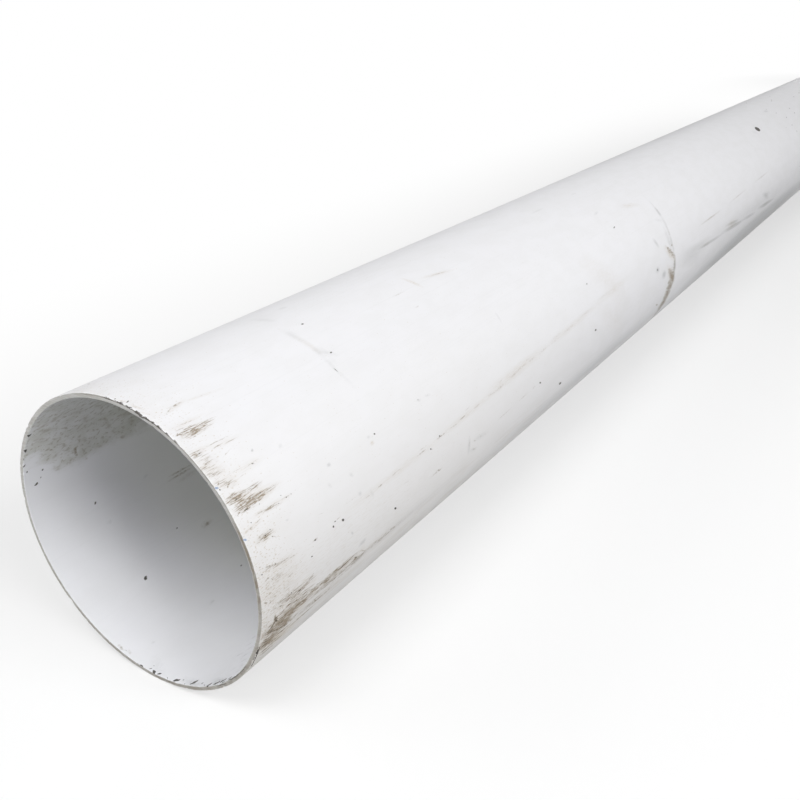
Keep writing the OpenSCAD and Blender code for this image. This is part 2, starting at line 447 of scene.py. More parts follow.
# Thin brown lines and flecks.
GRIME_LINES = [
    (8, 19.8, 13, 18.2, 1.1, 50), (12, 18, 21, 18, 1.9, 50), (20, 18.2, 42, 20.5, 1.6, 20),
    (2.5, 25.2, 20, 26.4, 0.9, 40), (3, 26.6, 12, 27.2, 0.9, 45), (3, 28.6, 5, 27.2, 0.8, 60),
    (8, 27.8, 16, 27.9, 0.9, 70), (10, 28.7, 27, 28.6, 0.8, 60), (4.5, 29, 16, 29.3, 1, 90),
    (5, 29.9, 18, 29.9, 1, 80), (6, 30.5, 15, 30.6, 1.1, 80), (14, 30.2, 24, 30.6, 0.8, 50),
    (4, 31.3, 15, 31.4, 0.8, 45), (2, 28.2, 6, 28.8, 1, 90), (2, 36, 28, 36.8, 0.8, 45),
    (11, 37.8, 19, 37.8, 0.9, 50), (17, 38.3, 28, 38.5, 0.8, 50), (12, 42, 21, 40.3, 0.8, 30),
    (1, 37, 6, 37, 1, 70), (2, 35.8, 4.5, 36.2, 0.8, 55), (1, 39, 6, 39.2, 0.8, 40),
    (2, 40.2, 8, 40.4, 0.8, 40), (2.5, 41, 6, 41, 0.9, 60), (1.5, 42.2, 9, 42.4, 0.8, 40),
    (2, 43.2, 9, 43.4, 0.8, 40), (2, 44.7, 5, 44.7, 1, 75), (3, 45.4, 10, 45.4, 0.8, 40),
    (2, 46.6, 7, 46.4, 0.8, 40), (1.5, 48.6, 4, 47.6, 0.9, 75), (4, 49, 8.5, 49.2, 0.8, 65),
    (5.4, 50.6, 8, 49.4, 1, 85), (7, 47, 21, 47.6, 0.7, 35), (17, 48.2, 31, 47.8, 0.8, 40),
    (9, 50.2, 20, 49.4, 0.7, 30), (2, 53.4, 9.5, 53.4, 1, 80), (3.5, 54.2, 9, 54.4, 1.1, 90),
    (4, 54.9, 9, 54.9, 1.1, 90), (9, 54, 20, 54, 0.8, 50), (10, 55, 21, 54.9, 0.8, 50),
    (5.5, 56, 12, 56.2, 1, 70), (6, 57, 22, 57, 1.2, 75), (6, 57.7, 23, 57.6, 1.1, 70),
    (7, 58.4, 22, 58.5, 1.1, 70), (6.5, 59.2, 11, 59.2, 1.1, 110), (10, 59.2, 22, 58.9, 0.9, 75),
    (20, 57.6, 31, 57.8, 0.9, 55), (21, 58.6, 30, 58.2, 0.8, 55), (2.2, 59.3, 6.2, 58.5, 0.9, 80),
    (10, 62.3, 20, 62.8, 0.8, 50), (17, 62.6, 27, 63.5, 0.9, 65), (27, 62.8, 36, 63.2, 0.7, 50),
    (2, 65.1, 9, 64.8, 1, 45), (9, 64.6, 14, 64, 0.9, 45), (8, 69.9, 10.6, 69.8, 1, 100),
    (9, 69, 15, 69.2, 0.8, 50), (15, 70.8, 18, 72.4, 0.8, 35), (2, 77.2, 6, 78, 0.8, 40),
    (5, 78.5, 12, 80, 1, 75), (15, 80.6, 20, 81.4, 1, 60), (20, 81.6, 27, 82, 0.8, 50),
    (4, 83, 9, 82.6, 1.6, 50), (8, 83.6, 9.6, 84.4, 1, 60), (14, 82.6, 18, 83, 0.8, 40),
    (18, 87.9, 23, 87.3, 1, 60), (2, 86.4, 12, 86.8, 1, 40), (2, 88.6, 9, 88.2, 1, 40),
    (1.5, 90, 4, 91, 1.4, 55), (38, 82.2, 43, 82, 1.4, 50), (54, 81.2, 62, 80.8, 1, 40),
    (46, 74.8, 51, 75.6, 0.8, 25), (20, 85.4, 24, 84.6, 0.8, 30), (2.4, 99.6, 4, 100, 1.4, 70),
    (80, 81.3, 88, 81.1, 0.9, 35), (92, 80.9, 99, 80.7, 1.3, 50), (104, 80.5, 116, 80.1, 1.1, 40),
    (129, 80.5, 142, 80.1, 1.3, 50), (131, 79, 144, 78.9, 1, 35), (150, 79.7, 165, 79.5, 1.4, 55),
    (165, 79.3, 178, 79.6, 1.2, 40), (176, 79, 188, 78.5, 1.4, 50), (184, 77, 193, 76.3, 1.4, 28),
    (194, 78.7, 205, 78.3, 2, 36), (212, 77.7, 224, 78.3, 2.6, 30), (221, 78.6, 238, 77.6, 2.6, 32),
    (225, 76.4, 237, 75, 1.8, 24), (240, 77.2, 258, 77, 3, 28), (250, 76.4, 272, 76.2, 2.2, 28),
    (262, 74.6, 277, 75.2, 2, 24), (268, 76.6, 284, 76, 3, 26), (284, 76.3, 304, 75.6, 3.2, 26),
    (300, 74.6, 330, 73.8, 3.2, 22), (300, 75.8, 324, 75.6, 3.2, 20), (322, 75.6, 350, 74.2, 3.6, 24),
    (352, 73.8, 386, 73, 3.8, 22), (380, 72, 430, 71, 4, 18), (62, 78, 80, 78.2, 1, 22),
    (144, 81.2, 147, 82.4, 1, 50), (10, 95.1, 21, 94.9, 1.1, 70), (21, 94.6, 26, 95, 0.9, 50),
    (12, 96.4, 15, 97, 1.2, 90), (24, 96.9, 30, 96.5, 1.2, 100), (30, 96.2, 39, 93.8, 1.1, 60),
    (22, 98.4, 25, 97, 1.1, 80), (18, 98.8, 21, 99.4, 1.2, 80), (19, 100, 25, 99.4, 0.9, 60),
    (5, 92, 7.5, 91.4, 1, 50), (3.4, 105.2, 8, 103.2, 1.8, 150), (7, 103.8, 10.6, 101, 2.2, 180),
    (9, 99.2, 11.4, 102.6, 2.2, 170), (5, 105.2, 9.4, 104.6, 1.5, 130), (7.6, 105.6, 12.6, 107.2, 1.6, 170),
    (10, 104.4, 16, 104.2, 1.3, 130), (11, 102.6, 23, 102.8, 1.6, 130), (22, 102.6, 31, 103.2, 1.4, 110),
    (29, 103.2, 33.6, 104, 1.5, 150), (14, 105.4, 24, 105, 1.4, 120), (23, 104.6, 36, 104.2, 1.2, 90),
    (11, 107.2, 17, 108.4, 1.8, 170), (15, 108.2, 22, 108, 1.4, 120), (12, 106.2, 20, 106.6, 1.4, 100),
    (36, 103, 46, 102.8, 1.1, 80), (44, 103, 53, 102.4, 1.5, 110), (53, 102.9, 73, 101.8, 1.6, 130),
    (58, 102.6, 67, 102.3, 1.1, 80), (68, 101.5, 78, 101.8, 1.1, 50), (72, 103.3, 76, 104.8, 1.6, 100),
    (34, 105.6, 72, 105.8, 1.3, 60), (76, 102, 84, 105, 1.1, 50), (34, 101.2, 42, 101.4, 1.1, 80),
    (2.4, 110.4, 11, 111.2, 2.2, 170), (2, 108, 7, 109.4, 1.8, 150), (5, 109.4, 11, 109.8, 1.6, 130),
    (41, 108.4, 43.5, 110.4, 1.4, 80), (8.4, 100.6, 12, 100.2, 1.6, 150), (12.4, 105.4, 17, 104.6, 1.4, 160),
    (16, 108.4, 21, 109.2, 1.5, 150), (5, 105.6, 10, 105.2, 1.8, 190), (3.4, 107.2, 6, 108, 1.4, 160),
    (3, 110.2, 7, 110.8, 1.6, 180), (15, 111, 20, 111.6, 1.4, 120), (4, 114.4, 9, 115, 1.6, 130),
    (9, 113.4, 17, 112.8, 1.4, 110), (18, 104.4, 25, 105, 1.3, 130), (6.2, 56, 7.6, 59, 1.3, 75),
    (80, 104.2, 94, 104, 1.2, 25), (84, 106, 104, 105.4, 1.2, 25), (3, 112, 14, 112.6, 1.6, 120),
    (10, 111, 26, 111.4, 1.6, 90), (6, 114.6, 22, 115, 1.8, 100), (20, 113, 48, 112.6, 1.6, 80),
    (30, 110.6, 62, 110.2, 1.6, 70), (4, 117, 16, 117.4, 1.8, 100), (40, 107.6, 90, 107.4, 1.8, 35),
    (102, 104.2, 112, 105, 1.3, 30), (114, 105.6, 132, 105.8, 1.2, 22), (140, 94, 161, 94, 2, 35),
    (150, 92.8, 156, 95, 2, 35), (188, 90, 189, 97, 2.4, 20), (193, 93, 198, 94.4, 2, 28),
    (200, 93, 206, 94.6, 2, 24), (206, 94, 212, 95.6, 1.8, 20), (193, 97.4, 199, 99, 1.8, 35),
    (218, 93, 250, 91.8, 1.8, 30), (250, 92, 272, 90.8, 1.8, 30), (274, 91.2, 281, 90.4, 2, 30),
    (110, 86, 126, 88.6, 1.4, 22), (323, 101, 330, 103, 2.4, 50), (640, 71.4, 745, 71.2, 3, 42),
    (745, 70.9, 850, 69.2, 3, 30), (850, 69.1, 960, 67.8, 3.2, 30), (652, 86.4, 690, 88.2, 3.4, 25),
    (740, 87.6, 812, 91.4, 3.4, 30), (748, 85, 788, 87.6, 3, 20), (900, 93, 965, 95.4, 3.4, 25),
    (569, 36, 570.6, 52, 1.8, 28), (570.4, 50, 571.6, 71, 2, 42), (564, 52, 566, 70, 1.8, 22),
    (557, 70.2, 573, 78.8, 2.6, 70), (558, 86, 575, 94, 4, 80), (565, 91, 577, 95.4, 2.6, 70),
    (558, 93, 566, 94.6, 2.4, 60), (561, 97.4, 575, 98.4, 2.6, 55), (562, 101, 575, 101.6, 2.6, 30),
    (562, 104, 576, 105, 3, 50), (568.6, 70.6, 571, 71, 3, 70), (538, 104.4, 549, 107.2, 3, 60),
    (226, 15.5, 260, 19.5, 2, 30), (188, 18, 206, 18, 1.8, 30), (194, 28, 201, 28, 1.6, 30),
    (3, -45, 20, -46, 1.2, 100), (2, -47.5, 16, -48, 1.2, 100), (6, -91, 28, -90, 1.3, 110),
    (4, -94, 19, -93, 1.3, 100), (60, -77, 240, -72, 1.4, 40), (300, -70, 460, -66, 1.6, 35),
    (3, -118, 40, -117, 1.5, 90), (30, -60, 44, -58, 1, 60), (900, -81, 1180, -75, 2, 40),
    (1300, 20, 1390, 24, 2, 30), (1620, 64, 1800, 60, 2, 40), (2200, -60, 2420, -66, 2, 40),
    (2380, 30, 2460, 28, 2, 35),
    *by_far_end(
        (22, 41, 4, 41.5, 1.2, 100), (28, 44, 5, 44, 1.2, 90), (60, 70, 12, 66, 1.2, 70),
        (40, -98, 8, -96, 1.5, 100),
    ),
]
# Crisp dark specks and scuffs, and at s 0.1 to 0.4 from phi -2 to 31 a dark line of dirt and painted
# shadow behind the chipped near edge.
SOOT_SPOTS_AND_EDGE_SHADOW = [
    (0.8, 3, 1.6, 3, 1, 90), (2.4, 7.4, 3.6, 7, 1.1, 110), (0.4, 5.4, 1.2, 6.6, 1, 90),
    (2.7, 9.9, 3.1, 9.9, 0.9, 60), (0.2, -2, 0.2, 3, 0.7, 80), (0.1, 3, 0.2, 7.4, 0.9, 140),
    (0.2, 8, 0.3, 11.4, 0.8, 120), (0.2, 12, 0.3, 15.6, 0.9, 220), (0.2, 16, 0.3, 18.6, 0.8, 110),
    (0.2, 19, 0.3, 20.8, 0.7, 100), (0.2, 21, 0.4, 24, 0.8, 120), (0.2, 24.6, 0.3, 27.4, 0.7, 90),
    (0.3, 28.6, 0.3, 31, 0.7, 80), (1.6, 11.4, 2, 11.6, 0.8, 50), (8.6, 19.9, 8.8, 19.4, 0.7, 60),
    (4.2, 37, 5.4, 37.1, 0.9, 80), (23.4, 48, 25.4, 48.5, 1.2, 60), (1.6, 49.6, 2, 49.9, 0.9, 90),
    (4.6, 54.9, 8, 54.9, 1, 55), (6.6, 59.2, 10, 59.2, 0.9, 90), (18.8, 57.2, 19.8, 57.4, 1.3, 60),
    (15.8, 60.2, 16.6, 60, 1.2, 50), (29, 61.5, 29.2, 61.8, 0.8, 70), (25.6, 63.4, 26.4, 63.6, 0.8, 70),
    (31.4, 63.2, 31.8, 63.2, 0.9, 90), (34.8, 63.1, 35.2, 63.3, 0.7, 60), (7.3, 63.4, 7.7, 63.6, 0.9, 70),
    (11.2, 69.7, 12.8, 69.7, 0.8, 80), (15.4, 68.8, 15.8, 69, 0.9, 90), (15.2, 71.2, 15.6, 71.3, 0.9, 80),
    (40, 82.1, 41, 82.3, 1.1, 100), (54.2, 82.3, 55, 82.7, 1.5, 130), (56, 81.1, 57, 81.2, 1.1, 100),
    (61.8, 82.5, 62.6, 83, 1.8, 140), (12.2, 80, 12.8, 80.1, 0.9, 80), (3.2, 80.1, 3.8, 80.4, 1, 80),
    (36.2, 86.9, 37, 87.3, 1, 90), (20.4, 94.7, 21, 94.8, 1, 90), (15.6, 95, 16, 95, 0.8, 60),
    (25.6, 97, 28, 96.7, 1.1, 90), (10, 101.4, 11, 102.2, 1.8, 70), (60, 102.5, 63, 102.5, 1.2, 80),
    (73.6, 103.8, 74.6, 104.3, 1.3, 100), (107.4, 94.8, 108.6, 95.4, 1.8, 140),
    (102.4, 62.3, 103, 62.5, 1.2, 100), (146, 61, 146.2, 61, 1, 60), (155, 61.5, 155.2, 61.5, 1, 50),
    (144.4, 81.5, 145.4, 81.7, 1.6, 110), (154.8, 79, 156, 79.4, 1.3, 90), (112.6, 28, 113.4, 28, 1.6, 100),
    (120.4, 9.5, 121.4, 9.5, 1.9, 110), (105, 33, 105.9, 37, 1.1, 60), (285.4, 90.4, 289, 91.8, 2.6, 70),
    (383, 86, 386, 86.4, 2.8, 90), (326, 102.4, 329, 103, 3.2, 100), (473, 42.4, 479, 41.6, 2.2, 70),
    (525, 79, 528, 79.3, 4, 60), (992.5, 31.2, 999.5, 30.8, 9, 300), (383.4, 60.4, 385, 60.4, 2, 70),
    (1, 108.6, 0.9, 117, 1.4, 220), (0.9, 116, 1.6, 122, 1.3, 180), (12, -20, 13, -20, 1.2, 90),
    (36, -38, 37, -38, 1.3, 100), (66, -84, 68, -83, 1.6, 100), (150, -56, 152, -56, 2, 90),
    (420, -90, 423, -90, 2.6, 90), (640, -40, 643, -40, 2.4, 80), (1250, 60, 1254, 60, 3.4, 90),
    (1720, -50, 1724, -50, 3.6, 90), (2140, 12, 2145, 12, 4, 100), (2560, 74, 2564, 74, 3.4, 90),
    *by_far_end(
        (36, 20, 34, 20, 1.6, 100), (12, 60, 11, 60, 1.3, 90), (80, -70, 78, -70, 2, 90),
    ),
]
# Soft grey smudges, and painted shade: the long strokes along the lower side, phi 102 to 116 from s 180
# to 1250, and along the upper edge, phi -24 to -15 from s 560 to 1100.
HAZE_AND_SHADE_PATCHES = [
    (28.2, 44.7, 29, 44.5, 1.7, 140), (43, 48.2, 44.4, 48, 2.4, 40), (63.5, 62.2, 65, 62.4, 2.6, 100),
    (97, 62, 98.4, 62.2, 2.2, 50), (59, 68, 60, 69, 2.6, 40), (75.4, 69.6, 76.6, 70.4, 2.6, 50),
    (26, 69.6, 27.4, 69.8, 1.4, 50), (145, 61, 148, 61.6, 2.4, 50), (153, 61.4, 158, 62, 2.4, 35),
    (133, -8, 136, -8, 5, 40), (109, 26, 115, 30, 4, 30), (78, 78, 79, 78.4, 3, 60),
    (256, 48, 256, 53, 3, 40), (16, 105.6, 140, 105.8, 6, 30), (72, 106, 80, 106.4, 4, 80),
    (87, 80, 88.4, 82.6, 2.6, 40), (76, 98.8, 80.5, 98.4, 4, 80), (188, 90, 189, 98, 4.4, 60),
    (190, 97, 200, 99, 4, 40), (193, 93, 212, 95, 5, 35), (404, 8, 428, 8, 3, 35), (68, 90, 69, 91, 2, 70),
    (484, 8, 492, 8, 3, 35), (466, 29.4, 476, 28.6, 3, 50), (532, 61, 538, 66, 6, 90),
    (524, 79, 529, 79.4, 7, 100), (541, 85, 547, 85.6, 9, 130), (554, 51, 569, 54, 4, 35),
    (566, 94, 568, 116, 24, 90), (1098, 18, 1112, 18, 7, 70), (590, 104, 1150, 102, 44, 60),
    (600, 116, 1250, 110, 42, 190), (600, 86, 1100, 90, 22, 35), (584, 83, 668, 92, 24, 50),
    (646, 86.4, 742, 90, 4.6, 110), (656, 87, 690, 88.6, 3, 90), (600, 82, 700, 86, 10, 40),
    (722, 88, 830, 92.6, 6, 110), (750, 89.6, 815, 92, 5, 100), (742, 85, 796, 88.4, 4.4, 100),
    (760, 87, 800, 88.6, 6, 60), (815, 91.4, 880, 94.6, 5.4, 100), (886, 92.4, 980, 96.4, 6, 130),
    (905, 94.6, 950, 96.4, 4, 60), (903, 82.6, 938, 89.6, 8, 80), (915, 84, 945, 87, 6, 40),
    (560, -24, 1100, -15, 40, 30), (970, 32, 984, 34, 8, 30), (10, 82, 60, 100, 40, 5),
    (4, 108, 90, 112, 22, 20), (180, 115, 620, 113, 26, 60), (80, 105, 190, 106, 12, 20),
    (880, -30, 900, -30, 9, 40), (1240, -96, 1900, -100, 40, 45), (2300, 98, 2800, 100, 36, 40),
]
# Grey arcs rubbed round the pipe, in broken pieces.
RUBBED_ARCS = [
    (112, -10, 114, 0, 7, 20), (107.2, 7, 107, 15, 7, 22), (106.6, 13, 107.4, 25, 6, 32),
    (107, 20, 105.4, 36, 4.4, 40), (105.6, 35, 108, 46, 4, 22), (110, 24, 109, 32, 6, 20),
    (570.4, 44, 571, 74, 8, 110), (573, 74, 574, 98, 9, 130), (569, 34, 570, 52, 6, 35),
    (564, 58, 566, 74, 10, 50), (2100, -40, 2102, 10, 8, 90), (1340, -120, 1342, -70, 8, 90),
]
# Tan stains.
TAN_PATCHES = [
    (106.6, 14, 107.2, 27, 6, 30), (2, 112, 34, 115, 14, 90), (20, 110, 90, 111, 9, 35),
    (1, 4, 2.2, 7, 2, 80), (1.4, 9, 3.4, 13.4, 2.2, 90), (0.8, 14, 3, 17, 2, 50), (8, 19.4, 22, 17.8, 3, 55),
    (20, 18.2, 44, 20.6, 2.6, 30), (2, 25.6, 22, 26, 3.4, 40), (1, 36, 12, 36.6, 4, 50),
    (10, 37.4, 29, 38.2, 4, 30), (3, 29.4, 22, 29.6, 6.6, 70), (98, 64.7, 98.8, 64.7, 3.4, 80),
    (217, 11, 219, 20, 5, 55), (0, 40, 8, 45, 12, 45), (226, 15.5, 260, 19.5, 4.4, 50),
    (515, 33, 546, 37, 7, 45), (395, 50, 450, 85, 34, 22), (400, 80, 450, 100, 26, 22),
    (2, 48, 12, 50, 7, 60), (10, 48, 32, 48.2, 5, 30), (552, 70, 574, 81, 10, 90), (554, 83, 577, 98, 14, 70),
    (558, 98, 576, 110, 14, 50), (2, 54, 13, 55, 6.2, 80), (5, 57.4, 25, 57.8, 8.4, 85),
    (16, 57.6, 33, 58, 4.6, 35), (8, 62.4, 36, 63.4, 4, 50), (1, 65, 14, 64.6, 3, 60),
    (6, 69.8, 17, 69.8, 6, 70), (2, 103.6, 38, 104, 15, 100), (1, 109.6, 15, 110, 9, 100),
    (30, 103, 80, 102.6, 7, 70), (30, 104.6, 130, 105.4, 9, 28), (60, 80.6, 160, 80.4, 6, 30),
    (150, 79.6, 220, 78.4, 6, 35), (200, 78.2, 300, 76.4, 7, 40), (210, 75.6, 300, 74.6, 6, 30),
    (290, 76, 400, 73.2, 7, 32), (390, 73, 460, 71, 8, 25), (2, 80, 28, 82, 7, 30), (2, 84, 32, 92, 22, 25),
    (4, 112, 26, 114, 10, 50), (6, 97, 40, 97, 12, 50), (755, 85.4, 780, 87, 9, 35),
    (740, 86, 800, 90, 12, 20), (4, -47, 24, -46, 8, 80), (5, -92, 30, -90, 9, 90),
    (3, -119, 44, -118, 9, 80), (1480, -88, 1570, -92, 12, 60),
    *by_far_end(
        (30, 43, 4, 43, 8, 80), (44, 96, 4, 98, 12, 90),
    ),
]
# Blue specks on the near edge.
INK_SPECKS = [
    (0.3, 48.6, 1.5, 49, 1.6, 120), (0.2, 66.7, 1.3, 67.1, 1.5, 130),
]


def stray_flecks(web, along, around, flat):
    """Sparse short dashes, on what the photograph doesn't show."""
    seen_middle, seen_to, hidden_from = 45, 74, 82  # degrees, the last two to either side of the first
    seen_length, hidden_length = 1080, 1160  # mm from the near end
    cell_length, cell_width = 46, 13  # mm
    off_middle = web.size(web.math("ADD", around, -seen_middle * ARC))
    off_side = web.ramp(off_middle, seen_to * ARC, hidden_from * ARC)
    beyond = web.ramp(along, seen_length, hidden_length)
    cells = web.node("Mapping", {0: flat, "Scale": (1 / cell_length, 1 / cell_width, 1)})
    nearest = web.node("TexVoronoi", {"Vector": cells, "Scale": 1}, voronoi_dimensions="2D")
    picked = web.ramp(nearest.node.outputs["Color"], 0.55, 0.6)
    dash = web.times(web.ramp(nearest, 0.025, 0.06, 0.8, 0), picked)
    return web.times(dash, web.larger(off_side, beyond))


def outside_material(low, high):
    web = Web(bpy.data.materials.new(f"pvc_outside_from_{low:.0f}"))
    along, around, flat = unrolled(web)
    ragged = warped(web, flat, 1.4, (0.9, 0.5, 0), 3)
    streak = web.noise(flat, (6, 0.42), 1, detail=1)
    grain = web.noise(flat, (1.6, 0.7), 2)
    mottle = web.noise(flat, (24, 12), 3, detail=4, rough=0.6)
    drawn = web.noise(flat, (500, 1.1), 4)
    off_crown = web.size(around)

    # Dirt lies thicker low on the sides and towards the ends, where the pipe is handled and rests.
    low_side = web.ramp(off_crown, 45 * ARC, 100 * ARC, 0.45, 1)
    from_end = nearest_end(web, along)
    handled = web.times(low_side, web.ramp(from_end, 0, 42, 1, 0.06))

    # Towards each end, fine scuffs where pipes lie against each other, painted shade that greys the front of
    # the upper side, yellower sides, and a grubby underside.
    sides = web.ramp(off_crown, 76 * ARC, 90 * ARC)
    scuffed = web.times(sides, web.ramp(from_end, 220, 10))
    scuffs = web.times(web.ramp(streak, 0.54, 0.66, 0, 0.15), scuffed)
    upper = web.ramp(web.size(web.minus(around, 50 * ARC)), 48 * ARC, 12 * ARC)
    upper_painted_shade = web.times(upper, web.ramp(from_end, 480, 160, 0, 0.085))
    side_on = web.ramp(off_crown, 30 * ARC, 112 * ARC, 0, 0.5, smooth=False)
    aged = web.times(side_on, web.ramp(from_end, 450, 120))
    underside = web.times(web.ramp(off_crown, 96 * ARC, 114 * ARC), web.ramp(from_end, 700, 60, 0.3, 1))
    grubby = web.times(web.ramp(web.noise(flat, (34, 2.4), 7), 0.45, 0.68, 0, 0.16), underside)

    # Grime is a thin veil with streaks rubbed into it, and the finer lines dragged over both.
    clots = web.noise(flat, (5, 2.2), 6, detail=3, rough=0.65)
    uneven = web.ramp(grain, 0.3, 0.62, 0.55, 1.05)
    clotted = web.times(uneven, web.ramp(clots, 0.36, 0.62, 0.5, 1.25))
    streaky = web.ramp(streak, 0.4, 0.6, 0.4, 1.2)
    patches = web.strokes(ragged, GRIME_PATCHES, low, high)
    thin = web.math("MINIMUM", web.times(patches, 0.34), 0.42)
    veil = web.times(web.larger(thin, web.ramp(patches, 1.5, 3.2, 0, 0.8)), clotted)
    rubbed = web.ramp(web.scaled(patches, 0.12, streak), 0.57, 0.68, 0, 0.85)
    rubbed = web.times(rubbed, web.ramp(patches, 0, 0.4))
    drags = web.times(web.strokes(ragged, GRIME_LINES, low, high), web.ramp(grain, 0.32, 0.6, 0.45, 1.35))
    grime = web.larger(web.larger(veil, rubbed), web.ramp(drags, 0.04, 0.8, 0, 0.9))
    grime_colour = web.mix(web.ramp(drags, 0.7, 1.6), GRIME, DEEP_GRIME)

    # specks and scuffs, with a line of dirt and painted shadow behind the chipped near edge
    soot = web.ramp(web.strokes(ragged, SOOT_SPOTS_AND_EDGE_SHADOW, low, high), 0.2, 0.6, 0, 0.97)
    rubs = web.times(web.strokes(ragged, RUBBED_ARCS, low, high), web.ramp(mottle, 0.36, 0.62, 0.3, 1.3))
    # grey smudges, partly painted shade along the lower side and the upper edge
    haze = web.math("ADD", web.times(web.strokes(ragged, HAZE_AND_SHADE_PATCHES, low, high), uneven), rubs, clamp=True)
    tan = web.times(web.strokes(ragged, TAN_PATCHES, low, high), streaky, clamp=True)
    flecks = web.ramp(web.scaled(handled, 0.2, grain), 0.75, 0.82, 0, 0.55)
    strays = stray_flecks(web, along, around, flat)

    colour = web.layered(
        PLASTIC,
        (web.ramp(mottle, 0.35, 0.68), PLASTIC_SHADE),
        (web.times(handled, web.ramp(mottle, 0.3, 0.7, 0.08, 0.2)), TAN),
        (web.ramp(drawn, 0.6, 0.75, 0, 0.04), HAZE_AND_SHADE_GREY),
        (aged, YELLOWED),
        # painted shade over the front of the upper side, towards each end
        (upper_painted_shade, HAZE_AND_SHADE_GREY),
        (web.larger(scuffs, grubby), TAN),
        # grey smudges, and painted shade along the lower side and the upper edge
        (web.times(haze, 0.7), HAZE_AND_SHADE_GREY),
        (web.times(tan, 0.6), TAN),
        (flecks, TAN),
        (grime, grime_colour),
        (web.larger(soot, strays), SOOT_AND_SHADOW),
    )
    if low == 0:
        colour = web.mix(web.ramp(web.strokes(ragged, INK_SPECKS), 0.2, 0.5, 0, 0.9), colour, INK)
    height = web.math("ADD", web.times(drawn, 0.012), web.times(web.noise(flat, (9, 6), 5), 0.03))
    return finish(web, colour, satin(web, mottle, web.larger(grime, soot)), height)


# ---- bore

# The bore's plastic and its mottle are painted lighter than the outside's: painted light in the shaded bore.
BORE_PLASTIC_PAINTED_LIGHTER = (0.875, 0.88, 0.91, 1)
BORE_MOTTLE_PAINTED_LIGHTER = (0.855, 0.86, 0.885, 1)
BORE_DEEP_PAINTED_SHADE = (0.85, 0.855, 0.825, 1)
FILM = (0.42, 0.425, 0.33, 1)
OLIVE = (0.2, 0.15, 0.065, 1)

# Dark crumbs, then olive stains, then grey smudges.
BORE_SOOT = [
    (0.3, 135.8, 1.2, 134.4, 2.2, 140), (2.2, 138.2, 3.2, 136.8, 2, 130), (2.3, 143, 3.4, 141.4, 2.4, 210),
    (1.2, 146.6, 2.6, 145, 2.6, 230), (0.2, 140.6, 0.8, 139.4, 1.6, 120), (0.4, 150.4, 1.8, 149.6, 2.2, 190),
    (0.4, 152.6, 1.4, 153, 1.3, 80), (2.6, 155.3, 3.2, 155.5, 1.3, 70), (1, 160.9, 4.2, 159.6, 2, 190),
    (0.4, 163.6, 1, 164, 1.2, 60), (0.8, 169.8, 2.4, 168.2, 2.2, 200), (3, 166.4, 3.4, 166.2, 1.3, 70),
    (0.4, 173, 0.9, 174, 1.2, 60), (0.5, 178.6, 1.7, 177.8, 1.7, 150), (0.4, 180.2, 1.4, 181.4, 1.9, 180),
    (0.8, 183.2, 1.8, 182.6, 1.4, 80), (-0.2, 185.6, 0.2, 189.6, 1.2, 120), (3.8, 183, 4.2, 183.4, 1.2, 60),
    (0.2, 186, 0.5, 188, 1.1, 80), (2.6, 196, 1.8, 198, 1.6, 45), (0.5, 294.6, 1.4, 295.8, 1.9, 120),
    (0.6, 303.2, 2, 304.4, 1.8, 120), (0.5, 287.3, 1.1, 288, 1.5, 100), (2, 283.8, 2.4, 284.2, 1.4, 80),
    (6.5, 276.5, 7.5, 276.8, 2.1, 150), (11.2, 281.4, 11.8, 281.8, 1.6, 90),
    (9.8, 278.4, 10.2, 278.8, 1.4, 80), (38.3, 256, 39, 256.4, 2.1, 100),
    (41.2, 217.4, 42.4, 218.2, 2.4, 110), (92.2, 196.8, 94.4, 197.4, 2, 60), (78, 228.5, 79, 228.5, 1.6, 70),
    (0.2, 290, 0.6, 292, 1, 70),
    *by_far_end(
        (4, 150, 0.6, 151, 2.4, 110), (3, 176, 0.6, 177, 2.2, 100), (3, 197, 0.6, 197, 2, 100),
        (40, 210, 38, 210, 2, 90), (4, 60, 0.6, 61, 2, 90),
    ),
]
BORE_SPOTS = [
    (13.4, 290.1, 15.8, 290.3, 1.5, 130), (15.6, 290, 18, 288.6, 1.5, 130),
    (32.8, 284.4, 32.2, 282.6, 2.4, 140), (32.4, 282.6, 33.4, 280.3, 2.4, 150),
    (29, 279.5, 29.8, 279.7, 2, 150), (39.2, 279.2, 40, 279.2, 2.2, 80), (20, 278.8, 21.4, 278.8, 3, 60),
    (50.6, 294, 53, 290.5, 3.4, 60), (53, 290.5, 56.6, 286, 3.4, 60), (58, 283.4, 60, 282, 3.4, 70),
    (64, 278.6, 66, 277.8, 3, 70), (70, 284.4, 73, 283.4, 3.6, 90), (27, 305.8, 29.4, 305, 4, 60),
    (14, 307.6, 16, 307, 4, 70), (8, 303.6, 14, 301.4, 4.4, 80), (24.4, 298, 25.8, 297.2, 2.4, 90),
    (22.4, 295.2, 23.4, 294.8, 1.8, 80), (48, 279.4, 50, 279, 3, 60), (38.6, 277, 40, 276.6, 2.4, 50),
    (6, 299, 12, 296.4, 5, 70), (5, 306, 13, 306.6, 4, 70), (34, 300, 40, 296, 6, 50),
    (60, 290, 74, 288, 6, 50), (42, 304, 48, 300, 5, 50), (18, 284.6, 22, 286, 2.4, 60),
    (24, 288.6, 27, 287.4, 2.4, 60), (36, 287, 40, 286, 3, 50), (88, 248.5, 111, 248.7, 1.8, 90),
    (90, 250.2, 111, 249.8, 1.8, 90), (96, 246, 112, 246.4, 4, 30), (2.4, 194.6, 3.2, 196, 2.4, 50),
    (1.4, 198, 1.8, 200.4, 2.6, 80), (94, 222.6, 102, 223.4, 5, 40), (97.6, 222.6, 99, 222.8, 2.4, 60),
]
